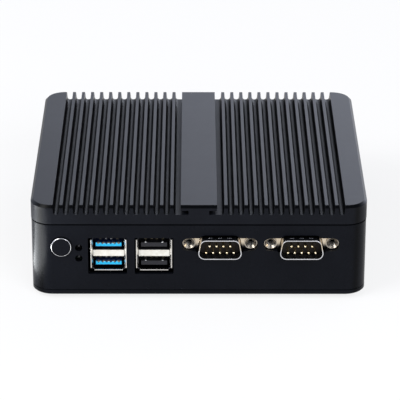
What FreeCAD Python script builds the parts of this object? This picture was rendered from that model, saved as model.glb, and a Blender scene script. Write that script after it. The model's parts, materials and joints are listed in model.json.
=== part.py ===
import FreeCAD, Part
import math
import os
import Sketcher

os.makedirs("parts", exist_ok=True)
doc = FreeCAD.newDocument("FanlessComputer")

# ---------------------------------------------------------------- driving dimensions, in millimetres
# Frame: +Z up, front panel facing -Y. The origin is the middle of the footprint at the standing surface,
# and the footprint takes in the serial ports' collars, which stand out of the front panel.
dimensions = {
    # case
    "case_width": 136.0,
    "case_depth": 127.5,
    "case_height": 39.3,
    "corner_radius": 8.7,
    "inner_corner_radius": 3.0,
    "wall": 2.2,
    "side_wall": 2.5,
    "cover_height": 8.0,
    "cover_overhang": 0.12,
    "cover_seam": 0.45,
    "cover_chamfer": 1.05,
    "base_thickness": 1.85,
    "base_seam": 0.3,
    "base_chamfer": 0.4,
    "seam_inset": 0.8,
    # cooling fins on the cover
    "fin_count": 12,
    "fin_pitch": 4.045,
    "fin_top": 1.3,
    "fin_depth": 3.85,
    "groove_floor": 0.3,
    "fin_root": 1.0,
    "first_fin": 10.9,
    "rib_width": 14.6,
    "rib_stem": 8.3,
    "rib_lip": 2.1,
    # posts, screws and feet that hold the case together
    "post_inset": 7.0,
    "post_radius": 3.6,
    "post_setback": 21.63,
    "screw_radius": 1.5,
    "screw_gap": 0.2,
    "thread_gap": 0.03,
    "driver_radius": 1.0,
    "driver_depth": 0.8,
    "case_screw_grip": 4.2,
    "case_head_radius": 2.9,
    "case_head_height": 1.5,
    "case_head_sink": 0.1,
    "foot_height": 2.0,
    "foot_radius": 5.6,
    "foot_taper": 0.6,
    "foot_inset_x": 16.0,
    "foot_inset_y": 14.0,
    "bracket_pitch": 75.0,
    "bracket_hole_radius": 1.65,
    "bracket_boss_radius": 3.6,
    "bracket_boss_height": 4.0,
    # main circuit board and what is soldered to it
    "board_thickness": 1.6,
    "board_gap": 1.4,
    "board_end_gap": 1.55,
    "board_standoff": 2.45,
    "board_hole_inset": 4.5,
    "board_hole_step": 8.0,
    "board_boss_radius": 3.2,
    "board_boss_bore": 3.4,
    "board_screw_radius": 1.25,
    "board_screw_length": 4.6,
    "board_head_radius": 2.6,
    "board_head_height": 1.7,
    "cpu_width": 25.0,
    "cpu_height": 0.8,
    "die_width": 14.0,
    "die_height": 0.5,
    "pad_width": 20.0,
    "pad_thickness": 0.5,
    "pedestal_width": 34.0,
    "choke_width": 7.0,
    "choke_height": 3.6,
    "choke_count": 3,
    "choke_pitch": 9.0,
    "choke_x": 4.0,
    "choke_setback": 26.88,
    "capacitor_radius": 3.15,
    "capacitor_height": 5.8,
    "capacitor_count": 4,
    "capacitor_pitch": 8.0,
    "capacitor_x": 2.0,
    "capacitor_setback": 37.88,
    "socket_slot_gap": 0.1,
    "ram_share": 0.1915,
    "ram_step": 10.0,
    "ram_width": 67.6,
    "ram_length": 30.0,
    "ram_thickness": 1.2,
    "ram_drop": 2.2,
    "ram_plug": 3.0,
    "ram_socket_depth": 6.0,
    "ram_socket_height": 5.2,
    "ram_arm_width": 1.5,
    "ram_arm_length": 20.0,
    "ram_arm_height": 4.0,
    "memory_chip_width": 10.0,
    "memory_chip_length": 11.0,
    "memory_chip_height": 1.0,
    "memory_chip_count": 4,
    "drive_share": 0.1809,
    "drive_step": 16.0,
    "drive_width": 22.0,
    "drive_length": 42.0,
    "drive_thickness": 0.8,
    "drive_drop": 2.4,
    "drive_plug": 3.5,
    "drive_socket_depth": 6.0,
    "drive_socket_height": 4.2,
    "drive_chip_width": 14.0,
    "drive_chip_length": 12.0,
    "drive_chip_height": 1.2,
    "drive_chip_pitch": 14.0,
    "drive_chip_start": 10.5,
    "drive_post_radius": 2.2,
    "drive_screw_radius": 0.95,
    "drive_screw_length": 2.4,
    "drive_head_radius": 2.4,
    "drive_head_height": 1.0,
    "cell_step_x": 15.5,
    "cell_step_y": 5.0,
    "cell_radius": 10.0,
    "cell_height": 3.2,
    "cell_gap": 0.2,
    "holder_wall": 1.4,
    "holder_floor": 1.0,
    # power button, its switch and the two indicator lamps
    "controls_width": 15.3,
    "controls_share": 0.1139,
    "button_drop": 5.54,
    "button_radius": 4.15,
    "button_bevel": 0.6,
    "button_proud": 0.75,
    "button_gap": 0.3,
    "button_flange_radius": 4.9,
    "button_flange": 0.8,
    "button_travel": 0.5,
    "stem_radius": 1.6,
    "stem_length": 0.5,
    "stop_gap": 0.4,
    "plunger_radius": 1.75,
    "plunger_reach": 1.5,
    "plunger_gap": 0.3,
    "switch_width": 6.0,
    "switch_depth": 3.5,
    "lamp_step": 7.06,
    "lamp_drop": 6.04,
    "lamp_pitch": 4.68,
    "lamp_radius": 1.35,
    "lamp_gap": 0.15,
    "lamp_sink": 1.5,
    "lamp_rim": 0.35,
    "lamp_rim_height": 1.0,
    "lamp_spacer": 2.2,
    "panel_board_left": 6.8,
    "panel_board_right": 10.4,
    "panel_board_drop": 0.6,
    "panel_board_height": 14.4,
    "panel_board_thickness": 1.2,
    "panel_boss_radius": 2.4,
    "panel_boss_rise": 1.8,
    "panel_boss_left": 4.1,
    "panel_boss_right": 3.2,
    "panel_screw_radius": 0.9,
    "panel_screw_length": 4.2,
    "panel_head_radius": 1.8,
    "panel_head_height": 1.2,
    "header_width": 10.2,
    "header_inset": 0.4,
    "header_height": 2.5,
    "header_depth": 2.5,
    "header_pin_count": 4,
    "header_pin_pitch": 2.54,
    "header_pin_width": 0.64,
    # double-decker USB sockets
    "usb3_share": 0.0228,
    "usb2_share": 0.1894,
    "usb_recess": 0.3,
    "usb_opening_width": 12.5,
    "usb_opening_height": 5.38,
    "usb_deck_gap": 2.7,
    "usb_drop": 2.13,
    "usb_sheet": 0.3,
    "usb_depth": 17.2,
    "usb_lip_depth": 1.0,
    "usb_side_flare": 0.7,
    "usb_low_flare": 0.2,
    "usb_lip_trim": 0.5,
    "usb_tongue_width": 10.5,
    "usb_tongue_thickness": 1.84,
    "usb_tongue_rise": 1.35,
    "usb_tongue_recess": 1.3,
    "usb_root_depth": 10.2,
    "usb_base_depth": 12.0,
    "usb_contact_width": 1.0,
    "usb_contact_height": 0.15,
    "usb_contact_length": 4.6,
    "usb_contact_recess": 3.6,
    "usb_outer_contact": 3.5,
    "usb_inner_contact": 1.0,
    "usb_slot_pitch": 2.0,
    "usb_slot_width": 1.1,
    "usb_slot_depth": 0.35,
    "usb_slot_length": 1.1,
    "usb_cut_side": 0.6,
    "usb_cut_low": 1.54,
    "usb_cut_high": 0.15,
    "usb_cut_corner": 0.5,
    "usb3_offset": 0.45,
    # nine-pin serial ports
    "com1_share": 0.2054,
    "com2_share": 0.1355,
    "com_drop": 5.35,
    "com_setback": 0.15,
    "com_width": 18.4,
    "com_height": 8.4,
    "com_slope": 0.1763,
    "com_corner": 2.6,
    "com_sheet": 0.35,
    "com_length": 6.0,
    "com_base_fillet": 0.7,
    "com_flange_width": 30.8,
    "com_flange_height": 12.5,
    "com_flange_thickness": 0.8,
    "com_flange_corner": 1.2,
    "com_nut_pitch": 24.99,
    "com_nut_radius": 2.6,
    "com_nut_front": 0.7,
    "com_nut_barrel": 2.2,
    "com_nut_length": 5.0,
    "com_nut_bore": 1.42,
    "com_nut_mouth": 2.3,
    "com_nut_sink": 0.75,
    "com_nut_gap": 0.05,
    "com_cut_gap": 0.65,
    "com_ear_radius": 2.85,
    "com_ear_rise": 0.75,
    "com_blend": 1.2,
    "com_plate_depth": 2.6,
    "com_body_width": 19.3,
    "com_body_depth": 8.4,
    "com_face_rise": 0.6,
    "com_body_gap": 0.05,
    "pin_radius": 0.5,
    "pin_gap": 0.02,
    "pin_pitch": 2.77,
    "pin_row": 2.84,
    "pin_reach": 5.2,
    "pin_tail": 1.6,
    "pin_row_setback": 2.84,
    "dimple_radius": 0.7,
    "dimple_depth": 0.16,
    "dimple_pitch": 3.6,
    # rear sockets
    "rear_recess": 0.3,
    "rear_gap": 0.35,
    "power_share": 0.2042,
    "power_width": 9.0,
    "power_height": 11.0,
    "power_depth": 14.0,
    "power_drop": 6.0,
    "power_bore": 3.2,
    "power_bore_depth": 9.5,
    "power_pin_radius": 1.05,
    "power_pin_length": 8.5,
    "power_setback": 0.2,
    "video_share": 0.1324,
    "video_width": 15.0,
    "video_height": 5.6,
    "video_corner": 2.1,
    "video_sheet": 0.3,
    "video_depth": 11.5,
    "video_tongue_width": 11.6,
    "video_tongue_thickness": 1.1,
    "video_tongue_length": 7.0,
    "lan1_share": 0.1901,
    "lan2_share": 0.1016,
    "lan_width": 15.9,
    "lan_height": 13.4,
    "lan_depth": 21.3,
    "lan_sheet": 0.3,
    "lan_cavity_width": 11.8,
    "lan_cavity_height": 7.2,
    "lan_cavity_depth": 13.0,
    "lan_cavity_rise": 3.4,
    "lan_latch_width": 6.2,
    "lan_latch_height": 2.4,
    "lan_latch_depth": 9.0,
    "lan_wire_count": 8,
    "lan_wire_pitch": 1.02,
    "lan_wire_width": 0.35,
    "lan_wire_length": 8.0,
    "lan_wire_recess": 2.4,
}

sheet = doc.addObject("Spreadsheet::Sheet", "Sizes")
for row, (alias, number) in enumerate(dimensions.items(), start=1):
    sheet.set(f"A{row}", alias)
    sheet.set(f"B{row}", str(number))
    sheet.setAlias(f"B{row}", alias)
doc.recompute()


# ---------------------------------------------------------------- sizes that carry their sheet formula
class Size:
    # a number in millimetres, and the formula over the sheet's cells that gives it
    def __init__(self, number, formula):
        self.number = number
        self.formula = formula

    def __add__(self, other):
        other = as_size(other)
        return Size(self.number + other.number, f"({self.formula} + {other.formula})")

    def __sub__(self, other):
        other = as_size(other)
        return Size(self.number - other.number, f"({self.formula} - {other.formula})")

    def __mul__(self, other):
        other = as_size(other)
        return Size(self.number * other.number, f"({self.formula} * {other.formula})")

    def __truediv__(self, other):
        other = as_size(other)
        return Size(self.number / other.number, f"({self.formula} / {other.formula})")

    def __neg__(self):
        return Size(-self.number, f"(0 - {self.formula})")

    __radd__ = __add__
    __rmul__ = __mul__

    def __rsub__(self, other):
        return as_size(other) - self


def as_size(value):
    return value if isinstance(value, Size) else Size(float(value), f"({value})")


class Sheet:
    # each cell of the sheet as a Size, by its alias
    def __getattr__(self, alias):
        return Size(float(sheet.get(alias)), f"Sizes.{alias}")


s = Sheet()


def around(centre, width):
    return centre - width / 2, centre + width / 2


def derive(alias, value):
    # one more row of the sheet, for a size that is worked out from the others
    row = len(dimensions) + len(derived) + 1
    sheet.set(f"A{row}", alias)
    sheet.set(f"B{row}", "=" + value.formula.replace("Sizes.", ""))
    sheet.setAlias(f"B{row}", alias)
    derived.append(alias)
    return Size(value.number, f"Sizes.{alias}")


derived = []


def set_out(half_width, pieces):
    # pieces side by side across a width, each after its share of the room that they leave
    room = half_width * 2
    for width, share in pieces.values():
        room = room - width
    middles = []
    edge = -half_width
    for label, (width, share) in pieces.items():
        middle = derive(f"{label}_x", edge + room * share + width / 2)
        edge = middle + width / 2
        middles.append(middle)
    return middles


# ---------------------------------------------------------------- building blocks
def bind(item, **sizes):
    for name, value in sizes.items():
        item.setExpression(name, as_size(value).formula)


def put(item, x, y, z, rotation=FreeCAD.Rotation()):
    item.Placement = FreeCAD.Placement(FreeCAD.Vector(), rotation)
    for axis, value in zip("xyz", (x, y, z)):
        item.setExpression(f"Placement.Base.{axis}", as_size(value).formula)
    return item


def box(x, y, z):
    item = doc.addObject("Part::Box", "Box")
    bind(item, Length=x[1] - x[0], Width=y[1] - y[0], Height=z[1] - z[0])
    return put(item, x[0], y[0], z[0])


# a turned piece stands along one axis, from the low to the high end of its span
turns = {
    "x": FreeCAD.Rotation(FreeCAD.Vector(0, 1, 0), 90),
    "y": FreeCAD.Rotation(FreeCAD.Vector(1, 0, 0), -90),
    "z": FreeCAD.Rotation(),
}


def turned(item, axis, centre, start):
    places = {"x": (start, *centre), "y": (centre[0], start, centre[1]), "z": (*centre, start)}
    return put(item, *places[axis], turns[axis])


def rod(axis, centre, radius, span):
    item = doc.addObject("Part::Cylinder", "Rod")
    bind(item, Radius=radius, Height=span[1] - span[0])
    return turned(item, axis, centre, span[0])


def cone(axis, centre, low_radius, high_radius, span):
    item = doc.addObject("Part::Cone", "Cone")
    bind(item, Radius1=low_radius, Radius2=high_radius, Height=span[1] - span[0])
    return turned(item, axis, centre, span[0])


def ball(centre, radius):
    item = doc.addObject("Part::Sphere", "Ball")
    bind(item, Radius=radius)
    return put(item, *centre)


def hexagon(centre, radius, span):
    item = doc.addObject("Part::Prism", "Hexagon")
    item.Polygon = 6
    bind(item, Circumradius=radius, Height=span[1] - span[0])
    return put(item, *centre, span[0])


def fuse(*items):
    item = doc.addObject("Part::MultiFuse", "Fuse")
    item.Shapes = list(items)
    item.Refine = True
    return item


def group(items):
    item = doc.addObject("Part::Compound", "Group")
    item.Links = list(items)
    return item


def cut(base, *tools):
    item = doc.addObject("Part::Cut", "Cut")
    item.Base = base
    item.Tool = tools[0] if len(tools) == 1 else group(tools)
    return item


nodes = []


def keep(label, item):
    item.Label = label
    nodes.append(item)
    return item


# ---------------------------------------------------------------- sketched features
def origin_feature(body, role):
    return next(feature for feature in body.Origin.OriginFeatures if feature.Role == role)


def sketch_on(body, plane, offset):
    sketch = body.newObject("Sketcher::SketchObject", "Sketch")
    sketch.AttachmentSupport = (origin_feature(body, f"{plane}_Plane"), [""])
    sketch.MapMode = "FlatFace"
    sketch.setExpression("AttachmentOffset.Base.z", as_size(offset).formula)
    return sketch


def outline(sketch, points, rounds=()):
    # a closed run of sides through the points; the sides named in rounds bulge out as quarter circles
    first = sketch.GeometryCount
    count = len(points)
    points = [(as_size(x), as_size(y)) for x, y in points]
    corners = [FreeCAD.Vector(x.number, y.number, 0) for x, y in points]
    area = sum(corners[n - 1].cross(corners[n]).z for n in range(count))
    turn = 1 if area > 0 else -1
    for n in range(count):
        start, end = corners[n], corners[(n + 1) % count]
        side = Part.LineSegment(start, end)
        if n in rounds:
            reach = end - start
            middle = start + (reach + FreeCAD.Vector(-reach.y, reach.x, 0) * turn) / 2
            round_line = Part.Circle(middle, FreeCAD.Vector(0, 0, 1), (start - middle).Length)
            low, high = (round_line.parameter(point) for point in (start, end)[::turn])
            side = Part.ArcOfCircle(round_line, low, high if high > low else high + math.tau)
        sketch.addGeometry(side, False)
    # a round side always runs counterclockwise, so on an outline drawn clockwise its ends change places
    ends = [(2, 1) if n in rounds and turn < 0 else (1, 2) for n in range(count)]
    for n in range(count):
        after = (n + 1) % count
        sketch.addConstraint(
            Sketcher.Constraint("Coincident", first + n, ends[n][1], first + after, ends[after][0]))
    for n, point in enumerate(points):
        for kind, value in zip(("DistanceX", "DistanceY"), point):
            limit = Sketcher.Constraint(kind, -1, 1, first + n, ends[n][0], value.number)
            place = sketch.addConstraint(limit)
            sketch.setExpression(f"Constraints[{place}]", value.formula)
    for n, radius in dict(rounds).items():
        place = sketch.addConstraint(Sketcher.Constraint("Radius", first + n, radius.number))
        sketch.setExpression(f"Constraints[{place}]", radius.formula)


def circle(sketch, x, y, radius):
    middle = FreeCAD.Vector(x.number, y.number, 0)
    round_line = Part.Circle(middle, FreeCAD.Vector(0, 0, 1), radius.number)
    place = sketch.addGeometry(round_line, False)
    limits = [
        (Sketcher.Constraint("DistanceX", -1, 1, place, 3, x.number), x),
        (Sketcher.Constraint("DistanceY", -1, 1, place, 3, y.number), y),
        (Sketcher.Constraint("Radius", place, radius.number), radius),
    ]
    for constraint, value in limits:
        index = sketch.addConstraint(constraint)
        sketch.setExpression(f"Constraints[{index}]", value.formula)


def rectangle(x, y):
    return [(x[0], y[0]), (x[1], y[0]), (x[1], y[1]), (x[0], y[1])]


def feature(body, kind, sketch, length, backwards=False):
    item = body.newObject(f"PartDesign::{kind}", kind)
    item.Profile = sketch
    item.Reversed = backwards
    bind(item, Length=length)
    body.Tip = item
    doc.recompute()
    return item


def edges_along(shape, axis, low=None, high=None):
    # names of the straight edges that run along one axis, with their middle between two heights
    names = []
    for n, edge in enumerate(shape.Edges, start=1):
        ends = [vertex.Point for vertex in edge.Vertexes]
        if len(ends) < 2:
            continue
        reach = ends[1] - ends[0]
        straight = abs(abs(reach.normalize().dot(axis)) - 1) < 1e-6
        middle = edge.CenterOfMass.z
        if straight and (low is None or low.number < middle < high.number):
            names.append(f"Edge{n}")
    return names


def edges_at(shape, height):
    # names of the edges that lie flat at one height
    names = []
    for n, edge in enumerate(shape.Edges, start=1):
        bounds = edge.BoundBox
        if abs(bounds.ZMin - height.number) < 1e-4 and abs(bounds.ZMax - height.number) < 1e-4:
            names.append(f"Edge{n}")
    return names


def dress(body, kind, base, names, **sizes):
    item = body.newObject(f"PartDesign::{kind}", kind)
    item.Base = (base, names)
    bind(item, **sizes)
    body.Tip = item
    doc.recompute()
    return item


axes = {"XY": FreeCAD.Vector(0, 0, 1), "XZ": FreeCAD.Vector(0, 1, 0), "YZ": FreeCAD.Vector(1, 0, 0)}


def prism(plane, points, span, corner=None):
    # an outline drawn in one plane and padded between two stations, its long edges rounded if asked
    body = doc.addObject("PartDesign::Body", "Prism")
    start = -span[1] if plane == "XZ" else span[0]
    sketch = sketch_on(body, plane, start)
    outline(sketch, points)
    pad = feature(body, "Pad", sketch, span[1] - span[0])
    if corner is not None:
        dress(body, "Fillet", pad, edges_along(pad.Shape, axes[plane]), Radius=corner)
    return body


# ---------------------------------------------------------------- levels and faces shared by the pieces
collar_reach = s.com_length - s.com_setback - s.wall - s.cover_overhang
middle_y = collar_reach / 2
half_depth = s.case_depth / 2 - s.cover_overhang
front = middle_y - half_depth
front_inside = front + s.wall
rear = middle_y + half_depth
rear_inside = rear - s.wall
side = s.case_width / 2 - s.cover_overhang
side_inside = side - s.side_wall
underside = s.foot_height
ring_low = underside + s.base_thickness + s.base_seam
top = underside + s.case_height
cover_low = top - s.cover_height
ring_high = cover_low - s.cover_seam
board_high = ring_high - s.board_standoff
board_low = board_high - s.board_thickness
post_x = s.case_width / 2 - s.post_inset
post_y = half_depth - s.post_setback
board_x = post_x - s.post_radius - s.board_gap
board_front = front_inside + s.board_end_gap
board_rear = rear_inside - s.board_end_gap
board_hole_x = board_x - s.board_hole_inset
board_hole_y = post_y - s.board_hole_step
body_corner = s.corner_radius - s.cover_overhang

# sockets and controls along the front and the rear, and the two cards under the board
usb_cut_width = (s.usb_opening_width / 2 + s.usb_sheet + s.usb_side_flare + s.usb_cut_side) * 2
com_cut_width = s.com_nut_pitch + s.com_ear_radius * 2
lan_cut_width = s.lan_width + s.rear_gap * 2
ram_socket_width = s.ram_width + (s.ram_arm_width + s.socket_slot_gap) * 2
row_end = side_inside - s.inner_corner_radius
controls_x, usb3_x, usb2_x, com1_x, com2_x = set_out(row_end, {
    "controls": (s.controls_width, s.controls_share),
    "usb3": (usb_cut_width, s.usb3_share),
    "usb2": (usb_cut_width, s.usb2_share),
    "com1": (com_cut_width, s.com1_share),
    "com2": (com_cut_width, s.com2_share),
})
power_x, video_x, lan1_x, lan2_x = set_out(side_inside, {
    "power": (s.power_width, s.power_share),
    "video": (s.video_width + s.rear_gap * 2, s.video_share),
    "lan1": (lan_cut_width, s.lan1_share),
    "lan2": (lan_cut_width, s.lan2_share),
})
ram_x, drive_x = set_out(board_x, {
    "ram": (ram_socket_width, s.ram_share),
    "drive": (s.drive_width + s.socket_slot_gap * 4, s.drive_share),
})
button_x = controls_x - s.controls_width / 2 + s.button_flange_radius
lamp_x = button_x + s.lamp_step
doc.recompute()


def four(x, y):
    # four places spread evenly about the middle of the case
    low, high = middle_y - y, middle_y + y
    return [(-x, low), (x, low), (x, high), (-x, high)]


# ---------------------------------------------------------------- finned top cover
def top_cover():
    body = doc.addObject("PartDesign::Body", "Cover")
    half_x = s.case_width / 2
    half_y = s.case_depth / 2
    upright = FreeCAD.Vector(0, 0, 1)

    # seat that drops into the seam and lands on the housing
    seat = sketch_on(body, "XY", ring_high)
    outline(seat, four(half_x - s.seam_inset, half_y - s.seam_inset))
    seat_pad = feature(body, "Pad", seat, s.cover_seam)
    corners = edges_along(seat_pad.Shape, upright)
    dress(body, "Fillet", seat_pad, corners, Radius=s.corner_radius - s.seam_inset)

    sketch = sketch_on(body, "XY", cover_low)
    outline(sketch, four(half_x, half_y))
    block = feature(body, "Pad", sketch, s.cover_height)
    corners = edges_along(block.Shape, upright, cover_low, top)
    round_block = dress(body, "Fillet", block, corners, Radius=s.corner_radius)
    dress(body, "Chamfer", round_block, edges_at(round_block.Shape, top), Size=s.cover_chamfer)

    # bosses for the board and the block that takes heat from the processor
    bosses = sketch_on(body, "XY", ring_high)
    for x, y in four(board_hole_x, board_hole_y):
        circle(bosses, x, y, s.board_boss_radius)
    feature(body, "Pad", bosses, s.board_standoff, backwards=True)
    pedestal = sketch_on(body, "XY", ring_high)
    outline(pedestal, four(s.pedestal_width / 2, s.pedestal_width / 2))
    pedestal_height = s.board_standoff - s.cpu_height - s.die_height - s.pad_thickness
    feature(body, "Pad", pedestal, pedestal_height, backwards=True)

    # grooves between the fins, and the wider undercut channel on each side of the middle rib
    floor = top - s.fin_depth
    root = floor + s.fin_root
    groove_middle = s.first_fin + s.fin_pitch / 2
    groove_top = (s.fin_pitch - s.fin_top) / 2
    groove_foot = s.groove_floor / 2 + s.fin_root
    overrun = s.cover_chamfer
    wide = groove_top + (groove_top - groove_foot) / (s.fin_depth - s.fin_root) * overrun
    flat = s.groove_floor / 2
    for sign in (-1, 1):
        middle = groove_middle * sign
        groove = sketch_on(body, "XZ", half_y + overrun - middle_y)
        outline(groove, [
            (middle + wide, top + overrun),
            (middle - wide, top + overrun),
            (middle - groove_foot, root),
            (middle - flat, floor),
            (middle + flat, floor),
            (middle + groove_foot, root),
        ], {2: s.fin_root, 4: s.fin_root})
        pocket = feature(body, "Pocket", groove, s.case_depth + overrun * 2)
        pattern = body.newObject("PartDesign::LinearPattern", "Fins")
        pattern.Originals = [pocket]
        pattern.Direction = (origin_feature(body, "X_Axis"), [""])
        pattern.Reversed = sign < 0
        bind(pattern, Length=s.fin_pitch * (s.fin_count - 1), Occurrences=s.fin_count)
        body.Tip = pattern
        doc.recompute()

        channel = sketch_on(body, "XZ", half_y + overrun - middle_y)
        outline(channel, [
            (s.rib_width / 2 * sign, top + overrun),
            (s.rib_width / 2 * sign, top - s.rib_lip),
            (s.rib_stem / 2 * sign, top - s.rib_lip),
            (s.rib_stem / 2 * sign, floor),
            ((groove_middle - s.fin_pitch + flat) * sign, floor),
            ((groove_middle - s.fin_pitch + groove_foot) * sign, root),
            ((groove_middle - s.fin_pitch + wide) * sign, top + overrun),
        ], {4: s.fin_root})
        feature(body, "Pocket", channel, s.case_depth + overrun * 2)

    # tapped holes from below: the case screws in the thick edges, the board screws in the bosses
    tapped = sketch_on(body, "XY", ring_high)
    for x, y in four(post_x, post_y):
        circle(tapped, x, y, s.screw_radius + s.thread_gap)
    feature(body, "Pocket", tapped, s.case_screw_grip + s.base_seam, backwards=True)
    bored = sketch_on(body, "XY", board_high)
    for x, y in four(board_hole_x, board_hole_y):
        circle(bored, x, y, s.board_screw_radius + s.thread_gap)
    feature(body, "Pocket", bored, s.board_boss_bore, backwards=True)
    keep("top_cover", body)


# ---------------------------------------------------------------- housing, base plate, feet and screws
def usb_heights():
    high = board_low - s.usb_drop
    low = high - s.usb_opening_height * 2 - s.usb_deck_gap
    return low, high


def usb_cutout(x):
    low, high = usb_heights()
    z = (low - s.usb_sheet - s.usb_low_flare - s.usb_cut_low, high + s.usb_sheet + s.usb_cut_high)
    return prism("XZ", rectangle(around(x, usb_cut_width), z), (front - s.wall, front_inside + s.wall),
                 s.usb_cut_corner)


def com_outline(x, grow):
    # a D laid on its long side: the wide side is the lower one
    z = board_low - s.com_drop
    half_height = s.com_height / 2 + grow
    low = s.com_width / 2 + grow * (1 + s.com_slope)
    high = s.com_width / 2 - s.com_height * s.com_slope + grow * (1 - s.com_slope)
    return [(x - low, z - half_height), (x + low, z - half_height),
            (x + high, z + half_height), (x - high, z + half_height)]


def com_cutout(x):
    # the D opening runs into a slot that shows the two threaded inserts
    ear_z = board_low - s.com_drop + s.com_ear_rise
    span = (front - s.wall, front_inside + s.wall)
    grow = s.com_cut_gap
    opening = prism("XZ", com_outline(x, grow), span, s.com_corner + grow)
    slot = box(around(x, s.com_nut_pitch), span, around(ear_z, s.com_ear_radius * 2))
    ends = [rod("y", (x + s.com_nut_pitch / 2 * sign, ear_z), s.com_ear_radius, span) for sign in (-1, 1)]
    whole = fuse(opening, slot, *ends)
    doc.recompute()
    reach = s.com_width / 2 + grow * 2
    inner = []
    for n, edge in enumerate(whole.Shape.Edges, start=1):
        middle = edge.CenterOfMass
        lengthwise = edge.BoundBox.YLength > s.wall.number and edge.BoundBox.XLength < 1e-4
        if lengthwise and abs(middle.x - x.number) < reach.number:
            on_slot = abs(abs(middle.z - ear_z.number) - s.com_ear_radius.number) < 1e-4
            if on_slot:
                inner.append((n, s.com_blend.number, s.com_blend.number))
    blended = doc.addObject("Part::Fillet", "Blend")
    blended.Base = whole
    blended.Edges = inner
    return blended


def video_outline(x, grow):
    high = board_low + grow
    low = board_low - s.video_height - grow
    half = s.video_width / 2 + grow
    corner = s.video_corner
    return [(x - half, high), (x + half, high), (x + half, low + corner), (x + half - corner, low),
            (x - half + corner, low), (x - half, low + corner)]


def rear_cutouts():
    span = (rear_inside - s.wall, rear + s.wall)
    power = rod("y", (power_x, board_low - s.power_drop), s.power_bore + s.rear_gap, span)
    video = prism("XZ", video_outline(video_x, s.rear_gap), span)
    z = (board_low - s.lan_height - s.rear_gap, board_low + s.rear_gap)
    lans = [box(around(x, lan_cut_width), span, z) for x in (lan1_x, lan2_x)]
    return [power, video, *lans]


def panel_board_face():
    # the small board stands behind the button, its flange, the stop gap and the switch
    flange_back = front_inside + s.button_gap + s.button_flange
    stem_tip = flange_back + s.stem_length
    return stem_tip + s.button_travel + s.stop_gap + s.switch_depth


def panel_board_low():
    return board_low - s.panel_board_drop - s.panel_board_height


def panel_boss_places():
    z = panel_board_low() + s.panel_boss_rise
    return [(button_x - s.panel_boss_left, z), (button_x + s.panel_boss_right, z)]


def main_housing():
    z = (ring_low, ring_high)
    shell = prism("XY", four(side, half_depth), z, body_corner)
    overrun = s.wall
    hollow = prism("XY", four(side_inside, half_depth - s.wall), (ring_low - overrun, ring_high + overrun),
                   s.inner_corner_radius)
    ring = cut(shell, hollow)
    posts = []
    for x, y in four(post_x, post_y):
        posts.append(rod("z", (x, y), s.post_radius, z))
        reach = (x, side_inside + overrun / 2) if x.number > 0 else (-side_inside - overrun / 2, x)
        posts.append(box(reach, around(y, s.post_radius * 2), z))
    bosses = [rod("y", place, s.panel_boss_radius, (front_inside - overrun / 2, panel_board_face()))
              for place in panel_boss_places()]
    body = fuse(ring, *posts, *bosses)

    through = (front - s.wall, front_inside + s.wall)
    holes = [rod("z", (x, y), s.screw_radius + s.screw_gap, (ring_low - overrun, ring_high + overrun))
             for x, y in four(post_x, post_y)]
    holes.append(rod("y", (button_x, board_low - s.button_drop), s.button_radius + s.button_gap, through))
    for n in range(2):
        place = (lamp_x, board_low - s.lamp_drop - s.lamp_pitch * n)
        holes.append(rod("y", place, s.lamp_radius + s.lamp_gap, through))
    for place in panel_boss_places():
        bore = (panel_board_face() - s.panel_screw_length, panel_board_face() + overrun)
        holes.append(rod("y", place, s.panel_screw_radius + s.thread_gap, bore))
    holes += [usb_cutout(usb3_x), usb_cutout(usb2_x), com_cutout(com1_x), com_cutout(com2_x)]
    holes += rear_cutouts()
    keep("main_housing", cut(body, *holes))


def base_plate():
    body = doc.addObject("PartDesign::Body", "Base")
    half_x = side
    half_y = half_depth
    upright = FreeCAD.Vector(0, 0, 1)
    rim_top = underside + s.base_thickness
    seat = sketch_on(body, "XY", rim_top)
    outline(seat, four(half_x - s.seam_inset, half_y - s.seam_inset))
    seat_pad = feature(body, "Pad", seat, s.base_seam)
    dress(body, "Fillet", seat_pad, edges_along(seat_pad.Shape, upright), Radius=body_corner - s.seam_inset)
    sketch = sketch_on(body, "XY", underside)
    outline(sketch, four(half_x, half_y))
    plate = feature(body, "Pad", sketch, s.base_thickness)
    corners = edges_along(plate.Shape, upright, underside, rim_top)
    rounded = dress(body, "Fillet", plate, corners, Radius=body_corner)
    dress(body, "Chamfer", rounded, edges_at(rounded.Shape, underside), Size=s.base_chamfer)
    bosses = sketch_on(body, "XY", ring_low)
    bracket = s.bracket_pitch / 2
    for x, y in four(bracket, bracket):
        circle(bosses, x, y, s.bracket_boss_radius)
    feature(body, "Pad", bosses, s.bracket_boss_height)
    tapped = sketch_on(body, "XY", underside)
    for x, y in four(bracket, bracket):
        circle(tapped, x, y, s.bracket_hole_radius)
    depth = s.base_thickness + s.base_seam + s.bracket_boss_height
    feature(body, "Pocket", tapped, depth, backwards=True)

    sunk = []
    for x, y in four(post_x, post_y):
        gap = s.screw_gap
        head_top = underside + s.case_head_sink + s.case_head_height
        sunk.append(fuse(
            cone("z", (x, y), s.case_head_radius + gap, s.screw_radius + gap, (underside, head_top)),
            rod("z", (x, y), s.screw_radius + gap, (underside, ring_low + gap)),
        ))
    keep("base_plate", cut(body, *sunk))


def feet():
    labels = ("foot_front_left", "foot_front_right", "foot_rear_right", "foot_rear_left")
    x = s.case_width / 2 - s.foot_inset_x
    y = s.case_depth / 2 - s.foot_inset_y
    for label, place in zip(labels, four(x, y)):
        keep(label, cone("z", place, s.foot_radius - s.foot_taper, s.foot_radius, (as_size(0), underside)))


def case_screws():
    screws = []
    start = underside + s.case_head_sink
    head_top = start + s.case_head_height
    for x, y in four(post_x, post_y):
        head = cone("z", (x, y), s.case_head_radius, s.screw_radius, (start, head_top))
        shank = rod("z", (x, y), s.screw_radius, (start, ring_high + s.case_screw_grip))
        socket = hexagon((x, y), s.driver_radius, (start - s.case_head_sink, start + s.driver_depth))
        screws.append(cut(fuse(head, shank), socket))
    keep("case_screws", group(screws))


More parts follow.
